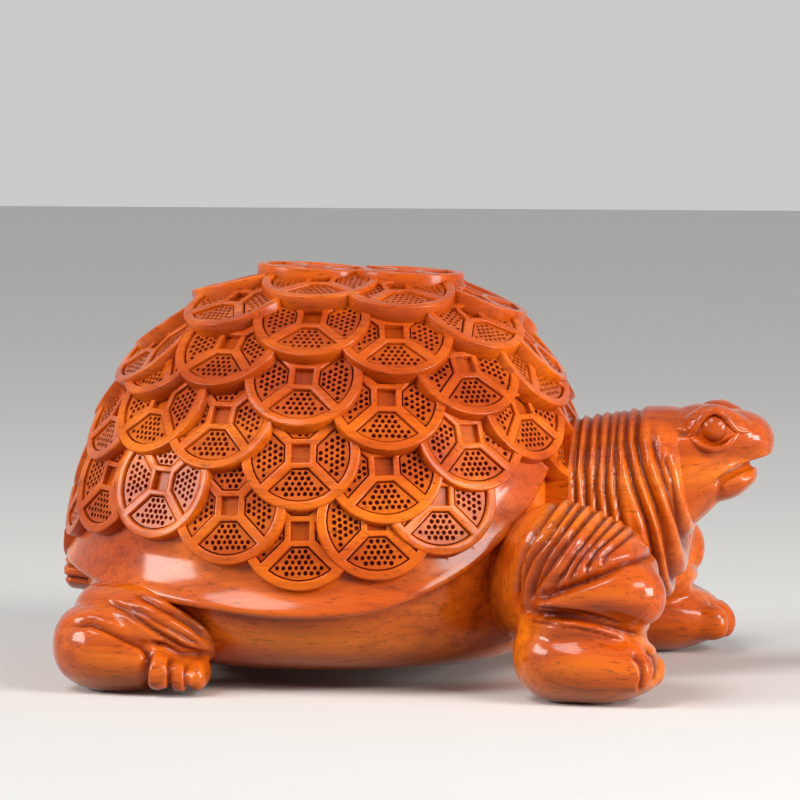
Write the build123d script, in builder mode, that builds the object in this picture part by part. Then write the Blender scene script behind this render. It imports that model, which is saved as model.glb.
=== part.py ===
from build123d import *
import os
from math import atan2, cos, pi, radians, sin

# A turtle figurine carved in rosewood, in millimetres. While it is modelled, the middle of the
# domed shell stands over X = 0, the head looks along +X and the soles rest on Z = 0.

# Domed shell
shell_length = 143.0
shell_width = 126.0
shell_rise = 90.0
springing_height = 24.0
dome_sides = 24
front_fullness, side_fullness, rear_fullness = 2.9, 2.1, 2.2
dome_level_shares = (-0.06, 0.0, 0.3, 0.54, 0.75, 0.9, 0.98)
neck_arch_height = 77.0

# Plain rim round the foot of the shell
rim_flare = 5.5
rim_root = 5.0
rim_gap = 38.0

# Cash coins that cover the dome
coin_diameter = 32.6
coin_thickness = 5.0
coin_lift = 0.6
coin_tilt = 5.0
coin_sides = 12
coin_rim_width = 3.0
coin_hole = 5.2
coin_hole_depth = 2.2
coin_frame_width = 1.7
coin_spoke_width = 2.8
petal_depth = 0.9

# Body under the shell
body_clearance = 5.5
sole_share = 0.70

# Neck, head and eyes. The neck keeps to the shell's front end, and the head to the neck's.
neck_length = 42.0
neck_width = 43.0
neck_height = 59.5
neck_inset = 10.5
neck_start = shell_length / 2 - neck_inset
neck_base = 14.0
neck_folds = 9
fold_depth = 0.9
skull_length = 25.0
skull_width = 30.5
skull_height = 36.5
skull_seat = 4.5
skull_start = neck_start + neck_length - skull_seat
skull_drop = 35.5
skull_base = neck_base + neck_height - skull_drop
muzzle_length = 20.3
muzzle_width = 27.0
muzzle_height = 17.0
muzzle_advance = 7.0
muzzle_start = skull_start + muzzle_advance
muzzle_lift = 19.0
muzzle_base = skull_base + muzzle_lift
mouth_length = 18.0
mouth_drop = 1.0
mouth_height = muzzle_base - mouth_drop
mouth_opening = 1.8
eye_diameter = 11.5
eye_lift = 32.8
eye_height = skull_base + eye_lift
eye_advance = 11.1
eye_along = skull_start + eye_advance
eye_spread = 31.0
eye_depth = 6.0
eye_round = 2.6
brow_length = 18.0
brow_width = 12.0
brow_height = 14.0
brow_spread = 16.0

# Legs and tail, each set in from the shell's end and side
leg_sides = 10
front_arm_length = 50.0
front_arm_width = 45.0
front_arm_height = 42.0
front_arm_inset = 21.5
front_arm_start = shell_length / 2 - front_arm_inset
front_foot_length = 42.0
front_foot_width = 31.0
front_foot_height = 22.4
front_foot_inset = 11.5
front_foot_start = shell_length / 2 - front_foot_inset
left_foot_advance = 7.0
front_leg_inset = 6.0
front_leg_offset = shell_width / 2 - front_leg_inset
thigh_length = 52.0
thigh_width = 29.0
thigh_height = 23.0
thigh_inset = 7.5
thigh_start = thigh_inset - shell_length / 2
rear_foot_length = 42.0
rear_foot_width = 33.0
rear_foot_height = 27.5
rear_foot_inset = 5.0
rear_foot_start = rear_foot_inset - shell_length / 2
rear_leg_inset = 14.0
rear_leg_offset = shell_width / 2 - rear_leg_inset
toe_length = 9.0
toe_width = 6.4
toe_height = 10.5
tail_length = 16.0
tail_width = 20.0
tail_height = 14.0
tail_reach = 4.0
tail_start = -shell_length / 2 - tail_reach
tail_base = 20.5

# One overrun serves every cut
overrun = 20.0

shell_top = springing_height + shell_rise


def between(rows, at):
    """The row of a table at a place along it, drawn straight between the nearest two."""
    for (start, *low_row), (end, *high_row) in zip(rows, rows[1:]):
        if at <= end:
            blend = (at - start) / (end - start)
            return [low + (high - low) * blend for low, high in zip(low_row, high_row)]
    return list(rows[-1][1:])


def fullness(bearing):
    """How full the dome's outline swells at a bearing, where 0 is the front and 180 the rear."""
    end_fullness = front_fullness if cos(bearing) > 0 else rear_fullness
    return side_fullness + (end_fullness - side_fullness) * cos(bearing) ** 2


def dome_reach(bearing, height):
    """Share of the full radius that the dome still has at a height."""
    power = fullness(bearing)
    rise_share = max((height - springing_height) / shell_rise, 0)
    return (1 - rise_share ** power) ** (1 / power)


def dome_point(bearing, slant):
    """A point of the dome. The slant runs from 0 at the crown to a right angle at the springing."""
    power = fullness(bearing)
    reach = sin(slant) ** (2 / power)
    return Vector(
        shell_length / 2 * reach * cos(bearing),
        shell_width / 2 * reach * sin(bearing),
        springing_height + shell_rise * cos(slant) ** (2 / power),
    )


def dome_normal(bearing, slant):
    step = radians(0.5)
    along = dome_point(bearing + step, slant) - dome_point(bearing - step, slant)
    down = dome_point(bearing, slant + step) - dome_point(bearing, slant - step)
    return down.cross(along).normalized()


def dome_outline(height, size_share=1.0, offset=0.0):
    """Corners of the dome's level outline at a height, made smaller or set outwards."""
    corners = []
    for side in range(dome_sides):
        bearing = 2 * pi * side / dome_sides
        reach = dome_reach(bearing, height) * size_share
        corners.append((
            (shell_length / 2 * reach + offset) * cos(bearing),
            (shell_width / 2 * reach + offset) * sin(bearing),
        ))
    return corners


def flat_faced(mass):
    """The same mass with flat faces only. A twisted facet is split along its diagonal."""
    faces = []
    for face in mass.faces():
        corners = [edge.position_at(0) for edge in face.outer_wire().order_edges()]
        if len(corners) == 4 and not face.is_planar:
            faces.append(Face(Wire.make_polygon((corners[0], corners[1], corners[2]))))
            faces.append(Face(Wire.make_polygon((corners[0], corners[2], corners[3]))))
        else:
            faces.append(Face(face.outer_wire()))
    return Solid(Shell(faces))


def stacked(levels):
    """A mass built up through level outlines, each given with its height."""
    with BuildPart() as mass:
        for height, corners in levels:
            with BuildSketch(Plane.XY.offset(height)):
                Polygon(*corners, align=None)
        loft(ruled=True)
    return flat_faced(mass.part)


# The rim's outer face by height above the floor, and how much of the flare it has there.
rim_flare_shares = ((0.14, 1.0), (0.20, 0.95), (0.26, 0.55), (0.34, 0.34), (0.44, 0.24), (0.60, 0.16))

# The rim from the front corner to the rear: bearing, height of the lip and height of the upper edge.
rim_line_shares = (
    (20, 0.545, 0.555),
    (30, 0.455, 0.562),
    (42, 0.357, 0.555),
    (57, 0.263, 0.470),
    (74, 0.203, 0.395),
    (92, 0.193, 0.380),
    (112, 0.215, 0.395),
    (134, 0.241, 0.420),
    (157, 0.272, 0.450),
    (180, 0.300, 0.465),
)


def rim_line(edge):
    """Points of the rim's lower or upper edge, seen from the side, from the front to the rear."""
    points = []
    for row in rim_line_shares:
        bearing, height = radians(row[0]), row[edge] * shell_top
        flare = between(rim_flare_shares, row[edge])[0] * rim_flare
        points.append(((shell_length / 2 * dome_reach(bearing, height) + flare) * cos(bearing), height))
    return points


lip_line, upper_line = rim_line(1), rim_line(2)

# The rim is a flared band between its lip and its upper edge, open at the front for the neck.
rim_heights = [(share * shell_top, flare * rim_flare) for share, flare in rim_flare_shares]
rim_face = stacked((height, dome_outline(height, offset=flare)) for height, flare in rim_heights)
rim_hollow = stacked(
    (height, dome_outline(height, offset=-rim_root)) for height, flare in (rim_heights[0], rim_heights[-1])
)
with BuildPart() as shell_rim:
    add(rim_face)
    add(rim_hollow, mode=Mode.SUBTRACT)
    with BuildSketch(Plane.XZ):
        Polygon(
            *lip_line,
            (-shell_length, lip_line[-1][1]),
            (-shell_length, upper_line[-1][1]),
            *reversed(upper_line),
            align=None,
        )
    extrude(amount=shell_width, both=True, mode=Mode.INTERSECT)
    with BuildSketch(Plane.XY):
        with Locations((shell_length / 2, 0)):
            Rectangle(rim_gap, rim_gap)
    extrude(amount=shell_top, mode=Mode.SUBTRACT)

# The dome stops at a curved underside that follows the lip and arches over the neck.
dome_levels = [springing_height + share * shell_rise for share in dome_level_shares]
with BuildPart() as dome:
    add(stacked((level, dome_outline(level)) for level in dome_levels))
    with BuildSketch(Plane.XZ):
        Polygon(
            (shell_length, neck_arch_height),
            (shell_length / 2 + rim_flare, neck_arch_height),
            *lip_line,
            (-shell_length, lip_line[-1][1]),
            (-shell_length, -overrun),
            (shell_length, -overrun),
            align=None,
        )
    extrude(amount=shell_width, both=True, mode=Mode.SUBTRACT)
    add(shell_rim.part, mode=Mode.SUBTRACT)

# Coin places by course, each a bearing from the front and a slant from the crown, in degrees.
# A coin that isn't on the middle line has its twin on the other side.
coin_courses = {
    "coins_crown": ((180, 2), (0, 10.5)),
    "coins_upper_course": ((180, 16.5), (0, 26.5), (88.5, 14.5), (43.5, 20)),
    "coins_shoulder_course": (
        (180, 33), (134, 24.5), (89, 31), (59, 37), (25, 34), (12, 50.5), (0, 45),
    ),
    "coins_middle_course": (
        (180, 50), (158, 41), (143.5, 42.5), (118, 39), (89.5, 47), (66.5, 53), (41, 48.5),
        (26.5, 60.5), (0, 59.5),
    ),
    "coins_lower_course": (
        (180, 64.5), (154, 57), (133.5, 54), (111.5, 56), (89, 63), (69, 66.5), (46, 63.5), (12, 66),
    ),
    "coins_foot_course": (
        (180, 77), (163.5, 72), (144.5, 70), (124.5, 69.5), (105, 73), (88.5, 77), (71.5, 76), (56.5, 73.5),
    ),
}


def coin_place(bearing, slant):
    """The coin's face: on the dome, with the lower edge tilted out like a roof tile's."""
    normal = dome_normal(bearing, slant)
    up = (Vector(0, 0, 1) - normal * normal.Z).normalized()
    tilt = radians(coin_tilt)
    return Plane(
        dome_point(bearing, slant) + normal * coin_lift,
        x_dir=up.cross(normal),
        z_dir=normal * cos(tilt) + up * sin(tilt),
    )


def petal_outline(turn):
    """Corners of one recess between the square frame, two spokes and the coin's rim."""
    inner = coin_hole / 2 + coin_frame_width
    outer = coin_diameter / 2 - coin_rim_width
    spoke_offset = coin_spoke_width / 2 * 2 ** 0.5
    reach = (spoke_offset + (2 * outer ** 2 - spoke_offset ** 2) ** 0.5) / 2
    corner = atan2(reach - spoke_offset, reach)
    corners = [(-(inner - spoke_offset), inner), (inner - spoke_offset, inner)]
    for arc_share in (1.0, 0.0, -1.0):
        corners.append((outer * sin(corner * arc_share), outer * cos(corner * arc_share)))
    turn = radians(turn)
    return [(x * cos(turn) - y * sin(turn), x * sin(turn) + y * cos(turn)) for x, y in corners]


def coin_blank(place):
    with BuildPart() as blank:
        with BuildSketch(place):
            RegularPolygon(coin_diameter / 2, coin_sides)
        extrude(amount=-coin_thickness)
    return blank.part


def carved_coin(place, petal_turns):
    """A coin with its square hole and the recesses between its spokes."""
    with BuildPart() as coin:
        add(coin_blank(place))
        with BuildSketch(place):
            Rectangle(coin_hole, coin_hole)
        extrude(amount=-coin_hole_depth, mode=Mode.SUBTRACT)
        with BuildSketch(place):
            for turn in petal_turns:
                Polygon(*petal_outline(turn), align=None)
        extrude(amount=-petal_depth, mode=Mode.SUBTRACT)
    return coin.part


def largest(shape):
    return max(shape.solids(), key=lambda solid: solid.volume)


# The coins are laid from the crown down, so each runs under those above it.
places = []
for course, spots in coin_courses.items():
    for bearing, slant in spots:
        sides = (-1,) if bearing in (0, 180) else (-1, 1)
        for side in sides:
            places.append((course, coin_place(side * radians(bearing), radians(slant))))
places.sort(key=lambda entry: -entry[1].origin.Z)

blanks = [coin_blank(place) for course, place in places]
course_coins = {course: [] for course in coin_courses}
for number, (course, place) in enumerate(places):
    petal_turns = (0, 90, 180, 270) if number == 0 else (90, 180, 270)
    above = [
        blanks[upper] for upper in range(number)
        if (places[upper][1].origin - place.origin).length < coin_diameter
    ]
    coin = carved_coin(place, petal_turns)
    course_coins[course].append(largest(coin - above if above else coin))

shell = dome.part - blanks
rim_blanks = [
    blank for (course, place), blank in zip(places, blanks)
    if course in ("coins_foot_course", "coins_lower_course", "coins_middle_course")
]
rim = shell_rim.part - rim_blanks

# Body levels from the underside up: height as a share of the shell's top, size as a share of the dome.
body_shares = (
    (0.070, 0.82), (0.105, 0.90), (0.160, 0.94), (0.230, 0.955), (0.350, 0.955), (0.480, 0.955), (0.640, 0.955),
)

underside = (body_clearance, dome_outline(springing_height, sole_share))
body_levels = [
    (height_share * shell_top, dome_outline(height_share * shell_top, size_share))
    for height_share, size_share in body_shares
]
belly = stacked([underside] + body_levels)


def oval(half_width, half_height, sides):
    turns = [2 * pi * side / sides for side in range(sides)]
    return [(half_width * cos(turn), half_height * sin(turn)) for turn in turns]


def lobe(start, offset, base, size, shares, sides=leg_sides):
    """A rounded mass built up through upright ovals of one proportion, so that its facets are flat.

    Each row of shares is how far along, how far sideways, how high the middle is, and the girth.
    """
    length, width, height = size
    with BuildPart() as mass:
        for along, sideways, middle, girth in shares:
            centre = (start + along * length, offset + sideways * width, base + middle * height)
            with BuildSketch(Plane(centre, x_dir=(0, 1, 0), z_dir=(1, 0, 0))):
                Polygon(*oval(girth * width / 2, girth * height / 2, sides), align=None)
        loft(ruled=True)
    return flat_faced(mass.part)


front_arm_shares = (
    (0.00, 0.67, 0.70, 0.65),
    (0.18, 0.53, 0.70, 0.84),
    (0.28, 0.36, 0.71, 0.96),
    (0.46, 0.21, 0.76, 1.00),
    (0.66, 0.09, 0.79, 0.86),
    (0.83, 0.02, 0.77, 0.66),
    (0.95, 0.00, 0.75, 0.39),
    (1.00, -0.01, 0.76, 0.16),
)
front_foot_shares = (
    (0.00, 0.10, 0.375, 0.42),
    (0.08, 0.06, 0.41, 0.77),
    (0.26, 0.02, 0.43, 0.95),
    (0.52, -0.03, 0.44, 1.00),
    (0.76, -0.05, 0.39, 0.91),
    (0.93, -0.06, 0.31, 0.64),
    (1.00, -0.06, 0.28, 0.24),
)
thigh_shares = (
    (0.00, 0.30, 0.89, 0.44),
    (0.12, 0.20, 0.86, 0.77),
    (0.34, 0.06, 0.83, 0.97),
    (0.58, -0.05, 0.79, 0.96),
    (0.80, -0.12, 0.69, 0.70),
    (0.94, -0.14, 0.57, 0.39),
    (1.00, -0.15, 0.53, 0.17),
)
rear_foot_shares = (
    (0.00, 0.20, 0.49, 0.32),
    (0.08, 0.17, 0.49, 0.68),
    (0.28, 0.08, 0.465, 0.97),
    (0.54, -0.03, 0.45, 1.00),
    (0.78, -0.15, 0.35, 0.84),
    (0.94, -0.24, 0.265, 0.54),
    (1.00, -0.28, 0.235, 0.24),
)
toe_shares = ((0.00, 0.0, 0.52, 1.05), (0.70, 0.0, 0.42, 1.00), (1.00, 0.0, 0.30, 0.48))
# Toe places on a foot: how far along it the toe starts and how far sideways.
front_toe_shares = ((0.88, 0.26), (0.93, 0.08), (0.95, -0.13), (0.90, -0.34))
rear_toe_shares = ((0.95, -0.04), (0.93, -0.26), (0.86, -0.47), (0.72, -0.62))


def leg(masses, foot, toes):
    """Joins a limb's rounded masses and toes on the right side, and cuts the sole flat."""
    foot_start, foot_offset, foot_length, foot_width = foot
    with BuildPart() as limb:
        for mass in masses:
            add(mass)
        for along, sideways in toes:
            add(lobe(
                foot_start + along * foot_length - toe_length / 2,
                foot_offset + sideways * foot_width,
                0,
                (toe_length, toe_width, toe_height),
                toe_shares,
                sides=6,
            ))
        split(bisect_by=Plane.XY, keep=Keep.TOP)
    return limb.part


def front_leg(advance):
    arm_size = (front_arm_length, front_arm_width, front_arm_height)
    foot_size = (front_foot_length, front_foot_width, front_foot_height)
    arm = lobe(front_arm_start, -front_leg_offset, 0, arm_size, front_arm_shares)
    foot_start = front_foot_start + advance
    foot = lobe(foot_start, -front_leg_offset, 0, foot_size, front_foot_shares)
    return leg(
        (arm, foot), (foot_start, -front_leg_offset, front_foot_length, front_foot_width), front_toe_shares
    )


def rear_leg():
    thigh_size = (thigh_length, thigh_width, thigh_height)
    foot_size = (rear_foot_length, rear_foot_width, rear_foot_height)
    thigh = lobe(thigh_start, -rear_leg_offset, 0, thigh_size, thigh_shares)
    foot = lobe(rear_foot_start, -rear_leg_offset, 0, foot_size, rear_foot_shares)
    return leg(
        (thigh, foot), (rear_foot_start, -rear_leg_offset, rear_foot_length, rear_foot_width), rear_toe_shares
    )


# Neck between the chest and the head: how far along, how high its middle is, and the girth.
neck_shares = (
    (0.00, 0.476, 0.91),
    (0.26, 0.497, 0.995),
    (0.52, 0.529, 0.995),
    (0.74, 0.566, 0.963),
    (0.88, 0.608, 0.88),
    (0.96, 0.667, 0.763),
    (1.00, 0.746, 0.603),
)
ring_shares = []
for ring in range(2 * neck_folds + 1):
    ring_along = ring / (2 * neck_folds)
    ring_middle, ring_girth = between(neck_shares, ring_along)
    fold = 2 * fold_depth / neck_height if ring % 2 == 0 else 0
    ring_shares.append((ring_along, 0.0, ring_middle, ring_girth - fold))
neck = lobe(neck_start, 0, neck_base, (neck_length, neck_width, neck_height), ring_shares, sides=16)

skull_shares = (
    (0.00, 0.0, 0.534, 1.00),
    (0.15, 0.0, 0.581, 0.97),
    (0.31, 0.0, 0.630, 0.88),
    (0.47, 0.0, 0.674, 0.75),
    (0.62, 0.0, 0.715, 0.60),
    (0.76, 0.0, 0.740, 0.44),
    (0.89, 0.0, 0.764, 0.29),
    (1.00, 0.0, 0.756, 0.14),
)
muzzle_shares = (
    (0.00, 0.0, 0.41, 0.90),
    (0.25, 0.0, 0.47, 1.00),
    (0.50, 0.0, 0.52, 0.92),
    (0.72, 0.0, 0.53, 0.76),
    (0.88, 0.0, 0.52, 0.50),
    (1.00, 0.0, 0.52, 0.20),
)
brow_shares = (
    (0.00, 0.0, 0.50, 0.24),
    (0.22, 0.0, 0.50, 0.78),
    (0.50, 0.0, 0.50, 1.00),
    (0.78, 0.0, 0.48, 0.74),
    (1.00, 0.0, 0.46, 0.20),
)

with BuildPart() as head:
    add(lobe(skull_start, 0, skull_base, (skull_length, skull_width, skull_height), skull_shares, sides=12))
    add(lobe(muzzle_start, 0, muzzle_base, (muzzle_length, muzzle_width, muzzle_height), muzzle_shares))
    for side in (-1, 1):
        add(lobe(
            eye_along - brow_length / 2,
            side * brow_spread / 2,
            eye_height - brow_height / 2,
            (brow_length, brow_width, brow_height),
            brow_shares,
        ))
    with BuildSketch(Plane.XZ):
        mouth_front = muzzle_start + muzzle_length
        Polygon(
            (mouth_front - mouth_length, mouth_height),
            (mouth_front, muzzle_base + muzzle_height / 2),
            (mouth_front, muzzle_base + muzzle_height / 2 - mouth_opening),
            align=None,
        )
    extrude(amount=muzzle_width, both=True, mode=Mode.SUBTRACT)


def eye(side):
    """A round eyeball set into the side of the head."""
    place = (eye_along, side * (eye_spread / 2 - eye_depth), eye_height)
    with BuildPart() as ball:
        with BuildSketch(Plane(place, x_dir=(1, 0, 0), z_dir=(0, side, 0))):
            RegularPolygon(eye_diameter / 2, 12)
        extrude(amount=eye_depth)
        chamfer(ball.faces().sort_by(Axis.Y)[-1 if side > 0 else 0].edges(), length=eye_round)
    return ball.part


tail_shares = (
    (0.00, 0.0, 0.52, 0.28),
    (0.12, 0.0, 0.52, 0.66),
    (0.30, 0.0, 0.51, 0.62),
    (0.42, 0.0, 0.51, 0.88),
    (0.62, 0.0, 0.50, 0.84),
    (0.80, 0.0, 0.50, 1.00),
    (1.00, 0.0, 0.50, 1.00),
)


def cut_by(mass, *neighbours):
    """What is left of a mass where its neighbours come first, so that they meet face to face."""
    for neighbour in (dome.part, shell_rim.part, *neighbours):
        mass = mass - neighbour
    return largest(mass)


front_coins = [
    blank for (course, place), blank in zip(places, blanks)
    if place.origin.X > shell_length / 4 and course in ("coins_lower_course", "coins_middle_course")
]
belly_part = cut_by(belly)
front_leg_right = cut_by(front_leg(0), belly_part)
front_leg_left = cut_by(front_leg(left_foot_advance).mirror(Plane.XZ), belly_part)
rear_leg_right = cut_by(rear_leg(), belly_part)
rear_leg_left = cut_by(rear_leg().mirror(Plane.XZ), belly_part)
neck_part = cut_by(neck, belly_part, front_leg_right, front_leg_left, *front_coins)
eye_right, eye_left = eye(-1), eye(1)
head_part = largest(head.part - neck_part - eye_right - eye_left)
tail = lobe(tail_start, 0, tail_base, (tail_length, tail_width, tail_height), tail_shares)
rear_coin = max(zip(places, blanks), key=lambda pair: -pair[0][1].origin.X - pair[0][1].origin.Z)[1]

pieces = {
    "shell": largest(shell),
    "shell_rim": largest(rim),
    "belly": belly_part,
    "neck": neck_part,
    "head": head_part,
    "eye_right": eye_right,
    "eye_left": eye_left,
    "front_leg_right": front_leg_right,
    "front_leg_left": front_leg_left,
    "rear_leg_right": rear_leg_right,
    "rear_leg_left": rear_leg_left,
    "tail": cut_by(tail, belly_part, rear_coin),
}
for course, coins in course_coins.items():
    pieces[course] = Compound(coins)

# The finished figure stands with the middle of its footprint on the origin.
whole = Compound(list(pieces.values())).bounding_box()
to_origin = Location((-whole.center().X, -whole.center().Y, -whole.min.Z))

os.makedirs("parts", exist_ok=True)
for name, piece in pieces.items():
    placed = piece.moved(to_origin)
    placed.label = name
    export_step(placed, f"parts/{name}.step")
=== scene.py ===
import bmesh
import bpy
import numpy as np
from math import atan2, cos, pi, radians, sin, sqrt
from mathutils import Matrix, Vector
from random import Random


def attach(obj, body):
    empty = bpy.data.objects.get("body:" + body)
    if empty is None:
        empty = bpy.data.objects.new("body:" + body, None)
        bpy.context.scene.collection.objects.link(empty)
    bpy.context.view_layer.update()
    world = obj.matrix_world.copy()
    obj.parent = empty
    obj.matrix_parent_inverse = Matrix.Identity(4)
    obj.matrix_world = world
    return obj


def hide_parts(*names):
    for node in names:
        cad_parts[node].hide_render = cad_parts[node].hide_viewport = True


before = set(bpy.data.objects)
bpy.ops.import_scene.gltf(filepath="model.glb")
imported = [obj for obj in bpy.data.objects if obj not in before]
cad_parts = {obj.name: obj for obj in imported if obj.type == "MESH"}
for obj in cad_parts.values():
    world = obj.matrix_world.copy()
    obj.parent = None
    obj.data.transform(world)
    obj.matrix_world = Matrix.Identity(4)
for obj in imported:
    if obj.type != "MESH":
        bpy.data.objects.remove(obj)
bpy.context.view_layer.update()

scene = bpy.context.scene
MM = 0.001

# The view
# The camera stands 1.5 m off on the turtle's right, turned a little towards its tail and a little
# above it, with a long lens, as in the photograph.
bearing_of_view = radians(8.0)
view_pitch = radians(4.51)
camera_data = bpy.data.cameras.new("camera")
camera_data.sensor_width = 36.0
camera_data.lens = 241.5
camera_data.clip_start = 0.1
camera_data.clip_end = 20.0
camera = bpy.data.objects.new("camera", camera_data)
camera.location = (0.204, -1.4854, 0.195)
camera.rotation_euler = (pi / 2 - view_pitch, 0.0, bearing_of_view)
scene.collection.objects.link(camera)
scene.camera = camera
scene.view_settings.view_transform = "Standard"

# The floor and the room
# A plain pale matt floor that keeps the turtle's shadow, in a pale room. The light that the two throw
# back on the turtle is weaker than they look, so that its underside stays deep in colour.
room = bpy.data.worlds.new("room")
scene.world = room
room.use_nodes = True
room_nodes, room_links = room.node_tree.nodes, room.node_tree.links
room_light = room_nodes["Background"]
room_light.inputs["Color"].default_value = (0.90, 0.92, 0.96, 1)
room_light.inputs["Strength"].default_value = 0.15
room_seen = room_nodes.new("ShaderNodeBackground")
room_seen.inputs["Color"].default_value = (0.60, 0.595, 0.585, 1)


def seen_rays(tree):
    """One for the rays that see the background itself: the camera's, and those of its reflections."""
    rays = tree.nodes.new("ShaderNodeLightPath")
    seen = rays.outputs["Is Camera Ray"]
    for kind in ("Is Glossy Ray", "Is Transmission Ray"):
        either = tree.nodes.new("ShaderNodeMath")
        either.operation = "MAXIMUM"
        tree.links.new(seen, either.inputs[0])
        tree.links.new(rays.outputs[kind], either.inputs[1])
        seen = either.outputs["Value"]
    return seen


view_mix = room_nodes.new("ShaderNodeMixShader")
room_links.new(seen_rays(room.node_tree), view_mix.inputs["Fac"])
room_links.new(room_light.outputs["Background"], view_mix.inputs[1])
room_links.new(room_seen.outputs["Background"], view_mix.inputs[2])
room_links.new(view_mix.outputs["Shader"], room_nodes["World Output"].inputs["Surface"])

floor_half = 3.0
floor_mesh = bmesh.new()
bmesh.ops.create_grid(floor_mesh, x_segments=1, y_segments=1, size=floor_half)
floor_data = bpy.data.meshes.new("floor")
floor_mesh.to_mesh(floor_data)
floor_mesh.free()
floor = bpy.data.objects.new("floor", floor_data)
scene.collection.objects.link(floor)
floor_paint = bpy.data.materials.new("pale_floor")
floor_paint.use_nodes = True
floor_shader = floor_paint.node_tree.nodes["Principled BSDF"]
floor_shader.inputs["Base Color"].default_value = (0.82, 0.81, 0.79, 1)
floor_shader.inputs["Roughness"].default_value = 0.75
floor_shader.inputs["Specular IOR Level"].default_value = 0.0
floor_bounce = floor_paint.node_tree.nodes.new("ShaderNodeBsdfDiffuse")
floor_bounce.inputs["Color"].default_value = (0.24, 0.235, 0.225, 1)
floor_mix = floor_paint.node_tree.nodes.new("ShaderNodeMixShader")
floor_links = floor_paint.node_tree.links
floor_links.new(seen_rays(floor_paint.node_tree), floor_mix.inputs["Fac"])
floor_links.new(floor_bounce.outputs["BSDF"], floor_mix.inputs[1])
floor_links.new(floor_shader.outputs["BSDF"], floor_mix.inputs[2])
floor_out = floor_paint.node_tree.nodes["Material Output"]
floor_links.new(floor_mix.outputs["Shader"], floor_out.inputs["Surface"])
floor_data.materials.append(floor_paint)

for lamp_name, place, aim, size, power in (
    ("softbox_left", (-1.00, -0.50, 0.46), (0, 0, 0.05), (0.50, 0.36), 8.5),
    ("softbox_right", (0.78, -0.62, 0.58), (0.02, 0, 0.05), (0.45, 0.32), 6.0),
    ("softbox_head", (0.89, -0.33, 0.16), (0.08, 0, 0.06), (0.34, 0.30), 7.0),
):
    lamp_data = bpy.data.lights.new(lamp_name, "AREA")
    lamp_data.shape = "RECTANGLE"
    lamp_data.size, lamp_data.size_y = size
    lamp_data.energy = power
    lamp_data.color = (1.0, 0.98, 0.95)
    lamp = bpy.data.objects.new(lamp_name, lamp_data)
    lamp.location = place
    lamp.rotation_euler = (Vector(place) - Vector(aim)).to_track_quat("Z", "Y").to_euler()
    scene.collection.objects.link(lamp)
daylight_data = bpy.data.lights.new("soft_daylight", "SUN")
daylight_data.energy = 1.25
daylight_data.angle = radians(25)
daylight = bpy.data.objects.new("soft_daylight", daylight_data)
daylight.rotation_euler = Vector((-0.42, -0.62, 0.95)).to_track_quat("Z", "Y").to_euler()
scene.collection.objects.link(daylight)

# Belly
# The smooth underbody between the rim and the floor, of orange-red rosewood, carved round and
# polished, with the grain running from tail to head. It stands clear of the floor.
shell_middle = -25.15
shell_half_length, shell_half_width = 71.5, 63.0
shell_foot, shell_rise = 24.0, 90.0


def fullness(bearing):
    """How full the shell swells at a bearing from the head, the front fuller than the sides."""
    end_fullness = 2.9 if cos(bearing) > 0 else 2.2
    return 2.1 + (end_fullness - 2.1) * cos(bearing) ** 2


def shell_reach(bearing, height):
    """The share of its full breadth that the dome has at a height."""
    rise = max((height - shell_foot) / shell_rise, 0.0)
    return max(1 - rise ** fullness(bearing), 0.0) ** (1 / fullness(bearing))


def wall_point(bearing, height, share=1.0, outwards=0.0):
    """A point of the shell's round wall, in metres."""
    reach = shell_reach(bearing, height) * share
    return Vector((
        shell_middle + (shell_half_length * reach + outwards) * cos(bearing),
        (shell_half_width * reach + outwards) * sin(bearing),
        height,
    )) * MM


def drawn(rings):
    """A skin extruded from ring to ring of points, capped at both ends."""
    skin = bmesh.new()
    ring = [skin.verts.new(point) for point in rings[0]]
    count = len(ring)
    edges = [skin.edges.new((ring[k], ring[(k + 1) % count])) for k in range(count)]
    skin.faces.new(ring)
    for points in rings[1:]:
        made = bmesh.ops.extrude_edge_only(skin, edges=edges)["geom"]
        new_ring = []
        for old in ring:
            new_ring.append(next(
                edge.other_vert(old) for edge in old.link_edges
                if edge.other_vert(old) in made and edge.other_vert(old) not in ring
            ))
        for vert, point in zip(new_ring, points):
            vert.co = point
        ring = new_ring
        edges = [skin.edges.get((ring[k], ring[(k + 1) % count])) for k in range(count)]
    skin.faces.new(ring)
    bmesh.ops.recalc_face_normals(skin, faces=skin.faces)
    return skin


def smooth_mesh(skin, name):
    """The finished mesh of a skin, with its faces shaded smooth."""
    for face in skin.faces:
        face.smooth = True
    data = bpy.data.meshes.new(name)
    skin.to_mesh(data)
    skin.free()
    return data


def set_recess(data, values):
    """Says how much painted shade each point gets, from 0 to 1, to darken the wood's colour in its
    recesses.
    """
    if "recess" not in data.attributes:
        data.attributes.new("recess", "FLOAT", "POINT")
    data.attributes["recess"].data.foreach_set("value", values.astype(np.float32))


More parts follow.
